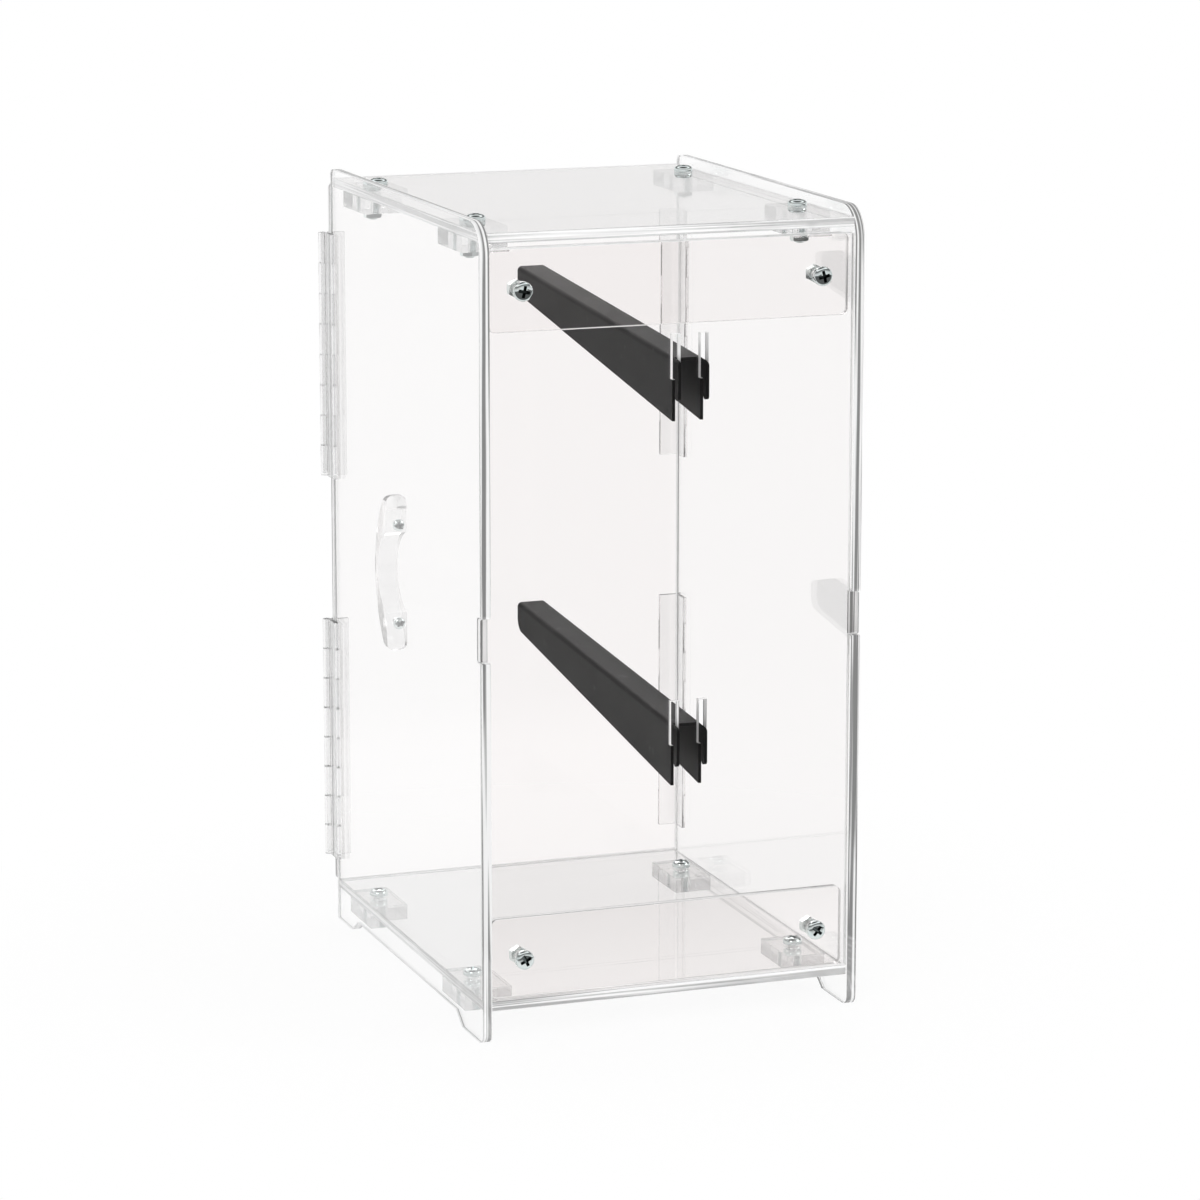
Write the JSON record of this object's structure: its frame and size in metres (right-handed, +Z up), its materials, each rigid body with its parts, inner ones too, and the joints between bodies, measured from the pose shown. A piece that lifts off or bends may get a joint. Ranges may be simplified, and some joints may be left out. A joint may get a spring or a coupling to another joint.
{
  "type": "countertop bread display bin",
  "caption": "Clear acrylic countertop case with a hinged rear door, screwed sheet joints and two black hook-in hanging rails for bread.",
  "frame": {"origin": "on the counter, under the middle of the whole object's box, rail hooks and door handle included", "axes": "+X across the case to its right side as seen from the serving front, +Y from the serving front to the rear door, +Z up"},
  "size_m": [0.256, 0.3352, 0.5],
  "materials": {
    "clear_acrylic": "polished clear cast sheet, edges flame-polished",
    "clear_hinge_plastic": "clear extruded hinge profile",
    "black_powder_coat": "satin black powder coat on bent steel sheet",
    "zinc_plated_steel": "bright zinc plate"
  },
  "bodies": {
    "case": {"side_left": "clear_acrylic", "side_right": "clear_acrylic", "top_panel": "clear_acrylic", "bottom_panel": "clear_acrylic", "front_panel": "clear_acrylic", "top_strip": "clear_acrylic", "bottom_strip": "clear_acrylic", "block_top_front_left": "clear_acrylic", "block_top_front_right": "clear_acrylic", "block_top_back_left": "clear_acrylic", "block_top_back_right": "clear_acrylic", "block_bottom_front_left": "clear_acrylic", "block_bottom_front_right": "clear_acrylic", "block_bottom_back_left": "clear_acrylic", "block_bottom_back_right": "clear_acrylic", "top_screws": "zinc_plated_steel", "top_nuts": "zinc_plated_steel", "bottom_screws": "zinc_plated_steel", "bottom_nuts": "zinc_plated_steel", "front_screws": "zinc_plated_steel", "front_nuts": "zinc_plated_steel", "left_upper_case_leaf": "clear_hinge_plastic", "left_lower_case_leaf": "clear_hinge_plastic", "right_upper_case_leaf": "clear_hinge_plastic", "right_lower_case_leaf": "clear_hinge_plastic", "left_upper_rod": "clear_hinge_plastic", "left_lower_rod": "clear_hinge_plastic"},
    "door": {"door": "clear_acrylic", "handle": "clear_acrylic", "handle_screws": "zinc_plated_steel", "left_upper_door_leaf": "clear_hinge_plastic", "left_lower_door_leaf": "clear_hinge_plastic", "right_upper_door_leaf": "clear_hinge_plastic", "right_lower_door_leaf": "clear_hinge_plastic"},
    "upper_rail": {"upper_rail": "black_powder_coat"},
    "lower_rail": {"lower_rail": "black_powder_coat"}
  },
  "joints": [
    {"name": "door_hinge", "type": "hinge", "parent": "case", "child": "door", "pos_m": [-0.12525, 0.1454, 0.25], "axis": [0, 0, 1], "range_deg": [0, 235]},
    {"name": "upper_rail_lift", "type": "slide", "parent": "case", "child": "upper_rail", "axis": [0, 0, 1], "range_m": [0, 0.0145]},
    {"name": "lower_rail_lift", "type": "slide", "parent": "case", "child": "lower_rail", "axis": [0, 0, 1], "range_m": [0, 0.0145]}
  ]
}
